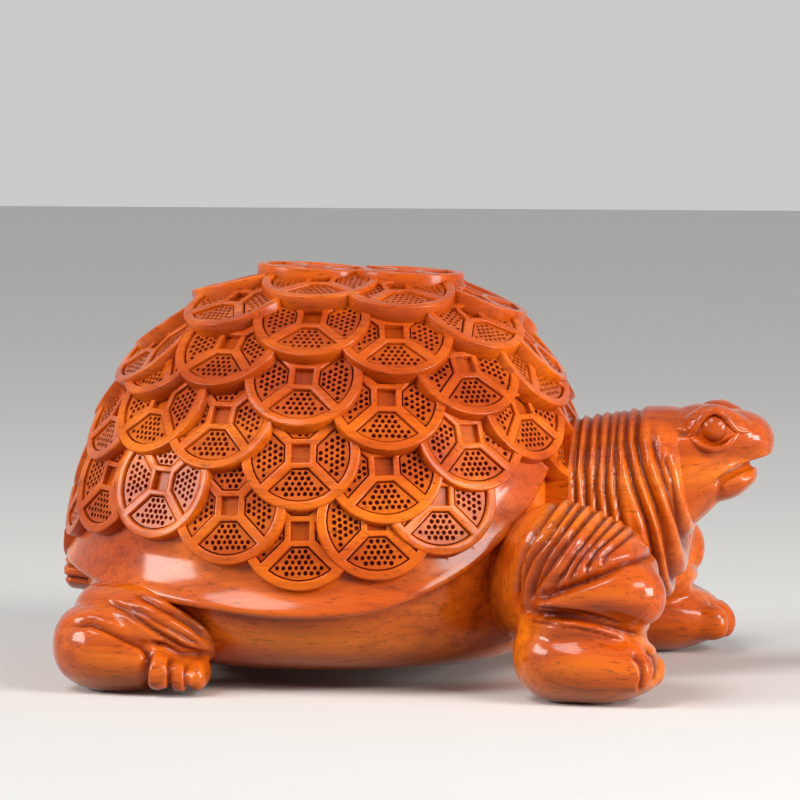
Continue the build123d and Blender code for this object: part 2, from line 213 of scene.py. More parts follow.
def rosewood(name, streak_contrast=1.0, gloss=1.0):
    """Lacquered orange-red rosewood. The grain runs along X, and painted shade darkens the recesses."""
    wood = bpy.data.materials.new(name)
    wood.use_nodes = True
    make, link = wood.node_tree.nodes.new, wood.node_tree.links.new
    shader = wood.node_tree.nodes["Principled BSDF"]

    where = make("ShaderNodeTexCoord")
    lengthwise = make("ShaderNodeMapping")
    lengthwise.inputs["Rotation"].default_value = (0.0, radians(4), radians(3))
    lengthwise.inputs["Scale"].default_value = (9.0, 420.0, 420.0)
    link(where.outputs["Object"], lengthwise.inputs["Vector"])
    streaks = make("ShaderNodeTexNoise")
    streaks.inputs["Scale"].default_value = 1.0
    streaks.inputs["Detail"].default_value = 5.0
    streaks.inputs["Roughness"].default_value = 0.62
    streaks.inputs["Distortion"].default_value = 0.25
    link(lengthwise.outputs["Vector"], streaks.inputs["Vector"])

    broad = make("ShaderNodeMapping")
    broad.inputs["Rotation"].default_value = (0.0, radians(4), 0.0)
    broad.inputs["Scale"].default_value = (6.0, 60.0, 60.0)
    link(where.outputs["Object"], broad.inputs["Vector"])
    bands = make("ShaderNodeTexNoise")
    bands.inputs["Scale"].default_value = 1.0
    bands.inputs["Detail"].default_value = 3.0
    bands.inputs["Distortion"].default_value = 0.5
    link(broad.outputs["Vector"], bands.inputs["Vector"])

    pore_place = make("ShaderNodeMapping")
    pore_place.inputs["Rotation"].default_value = (0.0, radians(4), 0.0)
    pore_place.inputs["Scale"].default_value = (180.0, 1500.0, 1500.0)
    link(where.outputs["Object"], pore_place.inputs["Vector"])
    pores = make("ShaderNodeTexNoise")
    pores.inputs["Scale"].default_value = 1.0
    pores.inputs["Detail"].default_value = 2.0
    link(pore_place.outputs["Vector"], pores.inputs["Vector"])

    body = make("ShaderNodeValToRGB")
    stops = body.color_ramp.elements
    stops[0].position, stops[0].color = 0.25, (0.44, 0.050, 0.003, 1)
    stops[1].position, stops[1].color = 0.70, (0.86, 0.190, 0.006, 1)
    middle = stops.new(0.48)
    middle.color = (0.62, 0.096, 0.004, 1)
    link(bands.outputs["Fac"], body.inputs["Fac"])

    streak_shade = make("ShaderNodeValToRGB")
    dark, light = streak_shade.color_ramp.elements
    dark.position, dark.color = 0.38, (0.45, 0.34, 0.30, 1)
    light.position, light.color = 0.52, (1, 1, 1, 1)
    link(streaks.outputs["Fac"], streak_shade.inputs["Fac"])
    streaked = make("ShaderNodeMix")
    streaked.data_type = "RGBA"
    streaked.blend_type = "MULTIPLY"
    streaked.inputs["Factor"].default_value = 0.42 * streak_contrast
    link(body.outputs["Color"], streaked.inputs["A"])
    link(streak_shade.outputs["Color"], streaked.inputs["B"])

    pore_shade = make("ShaderNodeValToRGB")
    pore_dark, pore_light = pore_shade.color_ramp.elements
    pore_dark.position, pore_dark.color = 0.32, (0.35, 0.35, 0.35, 1)
    pore_light.position, pore_light.color = 0.40, (1, 1, 1, 1)
    link(pores.outputs["Fac"], pore_shade.inputs["Fac"])
    pored = make("ShaderNodeMix")
    pored.data_type = "RGBA"
    pored.blend_type = "MULTIPLY"
    pored.inputs["Factor"].default_value = 0.6
    link(streaked.outputs["Result"], pored.inputs["A"])
    link(pore_shade.outputs["Color"], pored.inputs["B"])

    recess = make("ShaderNodeAttribute")
    recess.attribute_name = "recess"
    # Painted shade: the colour is mixed towards a deep red-brown by how deep in a recess a point lies, in
    # grooves, pits and round the eyes.
    painted_shade_mix = make("ShaderNodeMix")
    painted_shade_mix.data_type = "RGBA"
    painted_shade_mix.inputs["B"].default_value = (0.13, 0.010, 0.002, 1)
    link(recess.outputs["Fac"], painted_shade_mix.inputs["Factor"])
    link(pored.outputs["Result"], painted_shade_mix.inputs["A"])
    link(painted_shade_mix.outputs["Result"], shader.inputs["Base Color"])

    bump = make("ShaderNodeBump")
    bump.inputs["Strength"].default_value = 0.10
    bump.inputs["Distance"].default_value = 0.0003
    link(pores.outputs["Fac"], bump.inputs["Height"])
    link(bump.outputs["Normal"], shader.inputs["Normal"])
    shader.inputs["Roughness"].default_value = 0.36
    shader.inputs["Specular IOR Level"].default_value = 0.08
    dulled = make("ShaderNodeMapRange")
    dulled.inputs["To Min"].default_value = gloss
    dulled.inputs["To Max"].default_value = 0.1 * gloss
    link(recess.outputs["Fac"], dulled.inputs["Value"])
    link(dulled.outputs["Result"], shader.inputs["Coat Weight"])
    shader.inputs["Coat Roughness"].default_value = 0.26 - 0.14 * gloss
    shader.inputs["Coat IOR"].default_value = 1.36
    return wood


plain_rosewood = rosewood("rosewood_polished")


def finished(piece_name, data, paint, *replaced):
    """Puts a finished mesh in the scene as one piece that stands for its CAD nodes."""
    if "recess" not in data.attributes:
        data.attributes.new("recess", "FLOAT", "POINT")
    data.materials.clear()
    data.materials.append(paint)
    piece = bpy.data.objects.new(piece_name, data)
    scene.collection.objects.link(piece)
    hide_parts(*replaced)
    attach(piece, "root")
    return piece


belly_levels = (
    (5.6, 0.62), (5.9, 0.70), (8.2, 0.80), (12.0, 0.885), (18.0, 0.935), (26.0, 0.95), (36.0, 0.95),
    (48.0, 0.95), (60.0, 0.945),
)
around = [2 * pi * k / 96 for k in range(96)]
belly_skin = drawn([
    [wall_point(bearing, level, share) for bearing in around]
    for level, share in belly_levels
])
belly_mesh = smooth_mesh(belly_skin, "belly_carved")
finished("belly_carved", belly_mesh, plain_rosewood, "belly")

# Shell
# The domed carapace that carries the coins, of the same wood. It shows between the coins and at the
# front, where it arches over the neck.
shell_edge = ((0, 68.0), (12, 66.5), (20, 62.0), (30, 55.0), (45, 46.0), (60, 36.0), (90, 30.0),
    (180, 40.0))


def eased(table, at):
    """The value of a table of pairs at a place, with soft turns between the pairs."""
    for (start, low), (end, high) in zip(table, table[1:]):
        if at <= end:
            share = (at - start) / (end - start)
            share = share * share * (3 - 2 * share)
            return low + (high - low) * share
    return table[-1][1]


def folded(bearing):
    """Degrees from the head, the same on both sides."""
    turn = abs(bearing if bearing <= pi else bearing - 2 * pi)
    return turn * 180 / pi


shell_rings = []
for step_up in range(15):
    slant = pi / 2 * (1 - step_up / 14.4)
    ring = []
    for bearing in around:
        foot = eased(shell_edge, folded(bearing))
        ring.append(wall_point(bearing, foot + (shell_foot + shell_rise - foot) * cos(slant) ** 0.95))
    shell_rings.append(ring)
shell_skin = drawn(shell_rings)
shell_underside = min(shell_skin.faces, key=lambda face: face.calc_center_median().z)
bmesh.ops.delete(shell_skin, geom=[shell_underside], context="FACES_ONLY")
bmesh.ops.recalc_face_normals(shell_skin, faces=shell_skin.faces)
bmesh.ops.solidify(shell_skin, geom=shell_skin.faces[:], thickness=4.0 * MM)
shell_mesh = smooth_mesh(shell_skin, "shell_carved")
shell_mesh.set_sharp_from_angle(angle=radians(40))

# Shell rim
# The plain band round the foot of the shell, polished bright. It flares out to a rounded lip that
# rises at both front corners to a point beside the neck.
rim_flare = 5.4
flare_by_height = ((16.0, 1.0), (22.8, 0.95), (29.6, 0.62), (38.8, 0.45), (50.2, 0.34), (68.4, 0.20))
flare_reach = 12.5
lip_heights = (
    (20, 62.1), (30, 51.9), (42, 40.7), (57, 30.0), (74, 23.1), (92, 22.0), (112, 24.5), (134, 27.5),
    (157, 31.0), (180, 34.2),
)
band_heights = (
    (20, 63.3), (30, 64.1), (42, 63.3), (57, 53.6), (74, 45.0), (92, 43.3), (112, 45.0), (134, 47.9),
    (157, 51.3), (180, 53.0),
)


def straight(table, at):
    """The value of a table of pairs at a place, in straight lines between the pairs."""
    for (start, low), (end, high) in zip(table, table[1:]):
        if at <= end:
            return low + (high - low) * max(at - start, 0) / (end - start)
    return table[-1][1]


def smooth_line(table, at, reach=7.0):
    """The value of a table of pairs, averaged over its neighbourhood so that no corner shows."""
    places = [at + reach * offset for offset in (-1.0, -0.66, -0.33, 0.0, 0.33, 0.66, 1.0)]
    lowest, highest = table[0][0], table[-1][0]
    held = [min(max(place, lowest), 2 * highest - place if place > highest else place) for place in places]
    return sum(straight(table, place) for place in held) / len(held)


def flare_above(lip, up):
    """How far the band stands out from the shell at a height above its lip."""
    return rim_flare * straight(flare_by_height, lip) * max(1 - up / flare_reach, 0.0) ** 1.5


rim_rings = []
rim_steps = 200
for step in range(rim_steps + 1):
    bearing = radians(20 + 320 * step / rim_steps)
    side_turn = folded(bearing)
    lip = smooth_line(lip_heights, side_turn, min(7.0, side_turn - 19.9))
    top = smooth_line(band_heights, side_turn, min(7.0, side_turn - 19.9))
    band = max(top - lip, 0.6)
    soft = min(1.3, band * 0.3)
    edge_flare = flare_above(lip, soft)
    ring = []
    for up, outwards in (
        (0.4 * soft, -5.0), (0.0, -soft * 1.2 + edge_flare), (0.15 * soft, -soft * 0.5 + edge_flare),
        (0.5 * soft, -soft * 0.12 + edge_flare), (soft, edge_flare - 0.02), (soft * 1.6, edge_flare - 0.15),
    ):
        ring.append(wall_point(bearing, lip + up, outwards=outwards))
    start_up = soft * 1.6 / band
    for share in (0.08, 0.16, 0.25, 0.35, 0.46, 0.58, 0.72, 0.86, 1.0):
        up = (start_up + (1 - start_up) * share) * band
        ring.append(wall_point(bearing, lip + up, outwards=flare_above(lip, up) - 0.1))
    ring.append(wall_point(bearing, top, outwards=-4.0))
    rim_rings.append(ring)
rim_skin = drawn(rim_rings)
rim_mesh = smooth_mesh(rim_skin, "shell_rim_carved")
rim_mesh.set_sharp_from_angle(angle=radians(50))

# Coins
# Carved cash coins that overlap like roof tiles. Each has a raised rim, a square hole in a raised
# frame, four spokes, and four leaf-shaped pads between them that are drilled all over with pits.
coin_radius = 16.3
coin_rim = 2.6
hole_half = 2.6
frame_half = 4.2
spoke_width = 2.6
coin_half_thickness = 2.5
coin_edge = 0.45
pad_level, hole_floor_level, ground_level = -0.75, -1.75, -1.95
coin_lift, foot_coin_lift = 0.35, 1.2
coin_tilt = radians(5.0)
coin_rosewood = rosewood("rosewood_coins", streak_contrast=0.7, gloss=0.6)


def leaf_outline(turn, inset, points=9):
    """The edge of one opening between two spokes, the frame and the rim, drawn smaller by an inset."""
    inner = frame_half + inset
    outer = coin_radius - coin_rim - inset
    spoke = (spoke_width / 2 + inset) * sqrt(2)
    reach = (spoke + sqrt(2 * outer ** 2 - spoke ** 2)) / 2
    corner = atan2(reach - spoke, reach)
    outline = [(-(inner - spoke), inner), (inner - spoke, inner)]
    for k in range(points):
        swing = corner * (1 - 2 * k / (points - 1))
        outline.append((outer * sin(swing), outer * cos(swing)))
    return [(x * cos(turn) - y * sin(turn), x * sin(turn) + y * cos(turn)) for x, y in outline]


def inside(outline, x, y, margin):
    """Whether a point lies within a convex outline by at least a margin."""
    count = len(outline)
    area = sum(
        outline[k][0] * outline[(k + 1) % count][1] - outline[(k + 1) % count][0] * outline[k][1]
        for k in range(count)
    )
    for k in range(count):
        (ax, ay), (bx, by) = outline[k], outline[(k + 1) % count]
        length = sqrt((bx - ax) ** 2 + (by - ay) ** 2)
        across = ((bx - ax) * (y - ay) - (by - ay) * (x - ax)) / length
        if across * (1 if area > 0 else -1) < margin:
            return False
    return True


def plate(outlines, top, depth, edge, edge_steps=1):
    """A flat plate with softened edges, cut from closed outlines, the later ones being holes."""
    curve = bpy.data.curves.new("plate", "CURVE")
    curve.dimensions = "2D"
    curve.fill_mode = "BOTH"
    curve.extrude = (depth - edge) * MM
    curve.bevel_depth = edge * MM
    curve.bevel_resolution = edge_steps
    curve.offset = -edge * MM
    for outline in outlines:
        spline = curve.splines.new("POLY")
        spline.points.add(len(outline) - 1)
        for point, (x, y) in zip(spline.points, outline):
            point.co = (x * MM, y * MM, 0, 1)
        spline.use_cyclic_u = True
    holder = bpy.data.objects.new("plate", curve)
    made = bpy.data.meshes.new_from_object(holder)
    bpy.data.objects.remove(holder)
    bpy.data.curves.remove(curve)
    shaped = bmesh.new()
    shaped.from_mesh(made)
    bpy.data.meshes.remove(made)
    bmesh.ops.remove_doubles(shaped, verts=shaped.verts, dist=1e-7)
    bmesh.ops.recalc_face_normals(shaped, faces=shaped.faces)
    bmesh.ops.translate(shaped, verts=shaped.verts, vec=(0, 0, (top - depth) * MM))
    return shaped


def ring_of(radius, count, x=0.0, y=0.0, start=0.0):
    """A round outline, or a pit's, as that many corners."""
    return [
        (x + radius * cos(start + 2 * pi * k / count), y + radius * sin(start + 2 * pi * k / count))
        for k in range(count)
    ]


pit_spacing = 1.72
pit_radius = 0.66


def carved_coin(chance):
    """One coin lying flat, face up at zero height, with the pits of its pads set out one by one."""
    whole = bmesh.new()
    hole = [(x * hole_half, y * hole_half) for x, y in ((1, 1), (-1, 1), (-1, -1), (1, -1))]
    openings = [leaf_outline(turn * pi / 2, 0.0) for turn in range(4)]
    parts = [plate([ring_of(coin_radius, 44), hole] + openings, 0.0, coin_half_thickness, coin_edge, 2)]
    parts.append(plate([ring_of(coin_radius - 0.4, 24)], ground_level, 1.2, 0.05, 0))
    parts.append(plate([[(1.05 * x, 1.05 * y) for x, y in hole]], hole_floor_level, 0.4, 0.02, 0))
    for turn in range(4):
        pad = leaf_outline(turn * pi / 2, 0.42)
        outlines, pits = [pad], []
        row_start = chance.uniform(-0.4, 0.4)
        for row in range(8):
            for column in range(-6, 7):
                x = (column + (0.5 if row % 2 else 0.0)) * pit_spacing + row_start
                y = frame_half + 1.3 + row * pit_spacing * 0.87
                x += chance.uniform(-0.08, 0.08)
                y += chance.uniform(-0.08, 0.08)
                angle = turn * pi / 2
                px, py = x * cos(angle) - y * sin(angle), x * sin(angle) + y * cos(angle)
                least = (2.2 * pit_radius) ** 2
                apart = all((px - qx) ** 2 + (py - qy) ** 2 > least for qx, qy in pits)
                if apart and inside(pad, px, py, pit_radius + 0.12):
                    pits.append((px, py))
                    size = pit_radius * chance.uniform(0.84, 1.06)
                    outlines.append(ring_of(size, 7, px, py, chance.uniform(0, 1)))
        parts.append(plate(outlines, pad_level, 1.5, 0.07, 0))
    for part in parts:
        step = bpy.data.meshes.new("step")
        part.to_mesh(step)
        part.free()
        whole.from_mesh(step)
        bpy.data.meshes.remove(step)
    data = bpy.data.meshes.new("coin")
    whole.to_mesh(data)
    whole.free()
    return data


def shell_point(bearing, slant):
    """A point of the dome, in millimetres, by bearing from the head and slant from the crown."""
    power = fullness(bearing)
    reach = sin(slant) ** (2 / power)
    return Vector((
        shell_middle + shell_half_length * reach * cos(bearing),
        shell_half_width * reach * sin(bearing),
        shell_foot + shell_rise * cos(slant) ** (2 / power),
    ))


def shell_normal(bearing, slant):
    """The way that the dome faces at a place."""
    step = radians(0.5)
    along = shell_point(bearing + step, slant) - shell_point(bearing - step, slant)
    down = shell_point(bearing, slant + step) - shell_point(bearing, slant - step)
    return down.cross(along).normalized()


def coin_seat(bearing, slant, lift, tilt):
    """Where a coin lies on the shell, its lower edge tilted out like a roof tile's."""
    normal = shell_normal(bearing, slant)
    up = (Vector((0, 0, 1)) - normal * normal.z).normalized()
    face = normal * cos(tilt) + up * sin(tilt)
    across = up.cross(normal)
    along = face.cross(across)
    place = (shell_point(bearing, slant) + normal * lift) * MM
    seat = Matrix((across, along, face)).transposed().to_4x4()
    return Matrix.Translation(place) @ seat


coin_courses = {
    "coins_crown": ((180, 2), (0, 10.5)),
    "coins_upper_course": ((180, 16.5), (0, 26.5), (88.5, 14.5), (43.5, 20)),
    "coins_shoulder_course": (
        (180, 33), (134, 24.5), (89, 31), (59, 37), (25, 34), (12, 50.5), (0, 45),
    ),
    "coins_middle_course": (
        (180, 50), (158, 41), (143.5, 42.5), (118, 39), (89.5, 47), (66.5, 53), (41, 48.5),
        (26.5, 60.5), (0, 59.5),
    ),
    "coins_lower_course": (
        (180, 64.5), (154, 57), (133.5, 54), (111.5, 56), (89, 63), (69, 66.5), (46, 63.5), (12, 66),
    ),
    "coins_foot_course": (
        (180, 77), (163.5, 72), (144.5, 70), (124.5, 69.5), (105, 73), (88.5, 77), (71.5, 76), (56.5, 73.5),
    ),
}
by_hand = Random(66)
patterns = []
while len(patterns) < 4:
    pattern = carved_coin(by_hand)
    closed = bmesh.new()
    closed.from_mesh(pattern)
    if all(edge.is_manifold for edge in closed.edges):
        patterns.append(pattern)
    closed.free()
seats = []
for course, spots in coin_courses.items():
    for bearing, slant in spots:
        for side in ((-1,) if bearing in (0, 180) else (-1, 1)):
            lift = foot_coin_lift if course == "coins_foot_course" else coin_lift
            seat = coin_seat(side * radians(bearing), radians(slant), lift, coin_tilt)
            tilt = Matrix.Rotation(radians(by_hand.uniform(-1.0, 1.0)), 4, "X")
            swing = Matrix.Rotation(radians(by_hand.uniform(-3.0, 3.0)), 4, "Z")
            seats.append((course, seat @ tilt @ swing))
seats.sort(key=lambda entry: -entry[1].translation.z)


def points_of(data):
    """The points of a mesh, in millimetres."""
    flat = np.empty(len(data.vertices) * 3, np.float32)
    data.vertices.foreach_get("co", flat)
    return flat.reshape(-1, 3).astype(np.float64) / MM


def normals_of(data):
    flat = np.empty(len(data.vertices) * 3, np.float32)
    data.vertex_normals.foreach_get("vector", flat)
    return flat.reshape(-1, 3).astype(np.float64)


def put_points(data, points):
    data.vertices.foreach_set("co", (points * MM).astype(np.float32).ravel())
    data.update()


def drum(radius, low, high):
    """A plain round cutter of a coin's size, from a height under its face to one above it."""
    shaped = plate([ring_of(radius, 44)], high, (high - low) / 2, 0.001, 0)
    data = bpy.data.meshes.new("drum")
    shaped.to_mesh(data)
    shaped.free()
    return data


def notched(data, frame_of_data, cutter, places):
    """A mesh from which a cutter has been taken away at each of some places."""
    body = bpy.data.objects.new("body", data)
    scene.collection.objects.link(body)
    tools = []
    for place in places:
        tool = bpy.data.objects.new("tool", cutter)
        tool.matrix_world = frame_of_data.inverted() @ place
        scene.collection.objects.link(tool)
        tools.append(tool)
        cut = body.modifiers.new("cut", "BOOLEAN")
        cut.operation = "DIFFERENCE"
        cut.solver = "MANIFOLD"
        cut.object = tool
    made = bpy.data.meshes.new_from_object(body.evaluated_get(bpy.context.evaluated_depsgraph_get()))
    for used in tools + [body]:
        bpy.data.objects.remove(used)
    return made


over_coin = drum(coin_radius + 0.05, -4.7, 7.0)
laid = {course: bmesh.new() for course in coin_courses}
for number, (course, seat) in enumerate(seats):
    above = [
        place for upper, place in seats[:number]
        if (place.translation - seat.translation).length < 2 * coin_radius * MM
    ]
    coin = notched(by_hand.choice(patterns).copy(), seat, over_coin, above)
    spots = points_of(coin)
    depths = -spots[:, 2]
    # Painted shade: the coin's colour darkens with depth below its face, deepest in the pits and on the
    # ground between the pads; the square hole's floor and the coin's underside get a lighter, even painted
    # shade.
    painted_shade = np.clip((depths - 0.55) / 0.9, 0, 1) * 0.9
    painted_shade[(depths > 2.3) | ((depths > 1.7) & (np.abs(spots[:, :2]).max(axis=1) < 1.1 * hole_half))] = 0.35
    set_recess(coin, painted_shade)
    coin.transform(seat)
    laid[course].from_mesh(coin)
    bpy.data.meshes.remove(coin)
for course, skin in laid.items():
    course_mesh = smooth_mesh(skin, course + "_carved")
    course_mesh.set_sharp_from_angle(angle=radians(40))
    finished(course + "_carved", course_mesh, coin_rosewood, course)

rim_reach_height = 80.0
low_seats = [seat for course, seat in seats if seat.translation.z < rim_reach_height * MM]
coin_bed = drum(coin_radius + 0.3, -2.7, 12.0)
rim_cut = notched(rim_mesh, Matrix.Identity(4), coin_bed, low_seats)
rim_cut.set_sharp_from_angle(angle=radians(45))
finished("shell_rim_carved", rim_cut, plain_rosewood, "shell_rim")
shell_cut = notched(shell_mesh, Matrix.Identity(4), coin_bed, [seat for course, seat in seats])
shell_cut.set_sharp_from_angle(angle=radians(45))
finished("shell_carved", shell_cut, plain_rosewood, "shell")

# Neck
# The thick neck, cut with deep ring folds that lean towards the head as they come down from the nape
# to the throat.


def woven(rows, at):
    """A row of a table at a share of its length, on a smooth curve through all its rows."""
    place = at * (len(rows) - 1)
    k = min(int(place), len(rows) - 2)
    t = place - k
    before, start, end, after = rows[max(k - 1, 0)], rows[k], rows[k + 1], rows[min(k + 2, len(rows) - 1)]
    values = []
    for a, b, c, d in zip(before, start, end, after):
        values.append(0.5 * (2 * b + (c - a) * t + (2 * a - 5 * b + 4 * c - d) * t * t
                             + (3 * b - a - 3 * c + d) * t ** 3))
    return values


def massed(clay, rows, steps=30, flatness=0.7):
    """Adds one rounded mass to a carving: ovals that follow rows of x, y, z, half width, half height."""
    for step in range(steps + 1):
        x, y, z, half_width, half_height = woven(rows, step / steps)
        half_length = min(half_width, half_height) * flatness
        place = Matrix.Translation((x * MM, y * MM, z * MM))
        size = Matrix.Diagonal((half_length * MM, half_width * MM, half_height * MM, 1))
        bmesh.ops.create_icosphere(clay, subdivisions=3, radius=1.0, matrix=place @ size)


def evened(clay, name, grain, rounds):
    """One even skin round all the masses of a carving, smoothed."""
    data = bpy.data.meshes.new(name)
    clay.to_mesh(data)
    clay.free()
    holder = bpy.data.objects.new(name, data)
    scene.collection.objects.link(holder)
    even = holder.modifiers.new("even", "REMESH")
    even.mode = "VOXEL"
    even.voxel_size = grain * MM
    even.use_smooth_shade = True
    soft = holder.modifiers.new("soft", "SMOOTH")
    soft.factor = 0.5
    soft.iterations = rounds
    made = bpy.data.meshes.new_from_object(holder.evaluated_get(bpy.context.evaluated_depsgraph_get()))
    bpy.data.objects.remove(holder)
    bpy.data.meshes.remove(data)
    made.name = name
    made.attributes.new("recess", "FLOAT", "POINT")
    return made


def line_distance(points, line):
    """Distance of each point from a line of points, and how far along the line it is, from 0 to 1."""
    line = np.array(line, float)
    nearest = np.full(len(points), 1e9)
    along = np.zeros(len(points))
    lengths = np.linalg.norm(np.diff(line, axis=0), axis=1)
    total, gone = lengths.sum(), 0.0
    for start, end, length in zip(line[:-1], line[1:], lengths):
        share = np.clip(((points - start) @ (end - start)) / length ** 2, 0, 1)
        distance = np.linalg.norm(points - (start + share[:, None] * (end - start)), axis=1)
        closer = distance < nearest
        nearest[closer] = distance[closer]
        along[closer] = (gone + share[closer] * length) / total
        gone += length
    return nearest, along


def cut_folds(data, lines, side=None, painted_shade=0.92):
    """Cuts grooves seen from the side, each a width, a depth and a line of x and z.

    A negative depth raises a ridge. The side keeps the cut to the outer face of a leg.
    """
    points, normals = points_of(data), normals_of(data)
    recess = np.zeros(len(points), np.float32)
    data.attributes["recess"].data.foreach_get("value", recess)
    seen = points[:, [0, 2]]
    facing = np.ones(len(points))
    if side is not None:
        facing = np.clip(normals[:, 1] * side * 2.2 + 0.85, 0, 1)
    push = np.zeros(len(points))
    for width, depth, line in lines:
        distance, along = line_distance(seen, line)
        fade = np.clip(np.minimum(along, 1 - along) * 7 + 0.15, 0, 1)
        groove = np.exp(-(distance / width) ** 2) * fade * facing
        shoulder = np.exp(-((distance - 2.1 * width) / width) ** 2) * fade * facing
        push += -depth * groove + 0.22 * abs(depth) * shoulder
        # Painted shade darkens the colour along the bottom of each groove, not on the ridges.
        if depth > 0:
            recess = np.maximum(recess, painted_shade * np.exp(-(distance / (0.75 * width)) ** 2) * fade * facing)
    put_points(data, points + normals * push[:, None])
    set_recess(data, recess)
    data.update()


neck_clay = bmesh.new()
massed(neck_clay, (
    (36.5, 0, 42.3, 19.6, 27.0), (46.8, 0, 43.6, 21.3, 29.4), (57.7, 0, 45.5, 21.3, 29.4),
    (66.9, 0, 47.7, 20.6, 28.5), (72.0, 0, 50.4, 18.4, 25.6), (74.6, 0, 54.2, 15.6, 21.2),
    (75.2, 0, 58.4, 12.8, 17.4),
), steps=34, flatness=0.25)
neck_mesh = evened(neck_clay, "neck_carved", 0.75, 10)
neck_folds = (
    (0.75, 1.0, ((46.4, 79), (46.6, 67), (46.4, 58), (47.0, 50), (48.0, 38), (49, 18))),
    (0.95, 1.5, ((49.0, 79), (49.4, 67), (49.2, 60), (49.8, 52), (51.0, 40), (52, 18))),
    (0.85, 1.3, ((51.8, 79), (52.2, 70), (52.6, 65), (52.2, 55), (53.4, 47), (55.5, 35), (57, 18))),
    (0.85, 1.4, ((54.8, 79), (55.2, 66), (55.0, 55), (56.4, 47), (58.6, 35), (60, 18))),
    (0.80, 1.2, ((57.2, 79), (57.4, 66), (58.0, 55), (59.8, 45), (62.2, 34), (64, 18))),
    (0.95, 1.6, ((59.4, 79), (60.0, 67), (63.2, 55), (66.8, 45), (68.2, 38), (69.5, 26), (70, 18))),
    (1.00, 1.7, ((62.4, 79), (63.0, 68), (65.2, 60), (69.2, 50), (71.6, 42), (72.8, 34), (74, 20))),
    (0.90, 1.4, ((66.9, 71.5), (67.6, 68), (69.8, 61), (72.4, 54), (75.2, 45), (77.0, 36), (78, 24))),
    (0.70, 0.9, ((71.0, 64.5), (71.8, 61), (73.4, 57), (75.8, 45), (77.6, 36))),
)
cut_folds(neck_mesh, neck_folds)
finished("neck_carved", neck_mesh, plain_rosewood, "neck")

# Head
# The raised head with its blunt snout, parted lips, and heavy almond-shaped lids round the eyes, all
# cut in the one piece of wood with the neck.
head_clay = bmesh.new()
massed(head_clay, (
    (73.0, 0, 57.6, 14.6, 17.6), (77.5, 0, 59.6, 14.4, 17.0), (81.3, 0, 61.3, 13.4, 15.4),
    (85.2, 0, 63.0, 11.8, 13.0), (89.0, 0, 64.6, 9.8, 10.4), (92.6, 0, 65.6, 7.6, 7.6),
    (95.6, 0, 66.4, 5.2, 5.0),
), steps=30, flatness=0.35)
massed(head_clay, (
    (80.6, 0, 64.4, 11.4, 7.6), (85.4, 0, 66.4, 12.4, 8.4), (90.4, 0, 67.4, 11.4, 7.9),
    (94.4, 0, 67.4, 9.6, 6.8), (96.8, 0, 67.0, 7.6, 5.6), (98.2, 0, 66.6, 5.4, 4.2),
), steps=30, flatness=0.5)
massed(head_clay, (
    (82.0, 0, 54.2, 8.6, 5.4), (86.6, 0, 54.4, 8.6, 4.9), (90.4, 0, 55.1, 7.9, 4.0),
    (93.0, 0, 56.1, 6.8, 2.8), (94.6, 0, 56.8, 5.4, 2.0),
), steps=24, flatness=0.5)
for side in (-1, 1):
    massed(head_clay, (
        (77.6, side * 8.2, 70.2, 3.4, 4.4), (81.0, side * 8.4, 70.7, 4.9, 6.0),
        (84.6, side * 8.4, 70.9, 5.5, 6.3), (88.6, side * 8.0, 70.2, 4.9, 5.6),
        (92.6, side * 7.0, 69.2, 3.6, 4.0),
    ), steps=20, flatness=0.6)
head_mesh = evened(head_clay, "head_carved", 0.42, 14)
mouth_line = ((101.0, 62.4), (98.6, 61.5), (96.0, 60.7), (92.6, 59.7), (89.0, 58.2), (86.4, 56.5),
    (84.4, 54.8))
# The head's grooves get a slightly weaker painted shade than the other carvings' grooves.
cut_folds(head_mesh, (
    (0.75, 2.0, mouth_line),
    (0.60, 0.45, ((70.6, 69.9), (75.0, 69.2), (78.4, 68.8))),
    (1.10, -0.5, ((92.6, 57.0), (90.6, 56.2), (88.4, 55.1), (86.0, 53.6))),
), painted_shade=0.8)
finished("head_carved", head_mesh, plain_rosewood, "head")
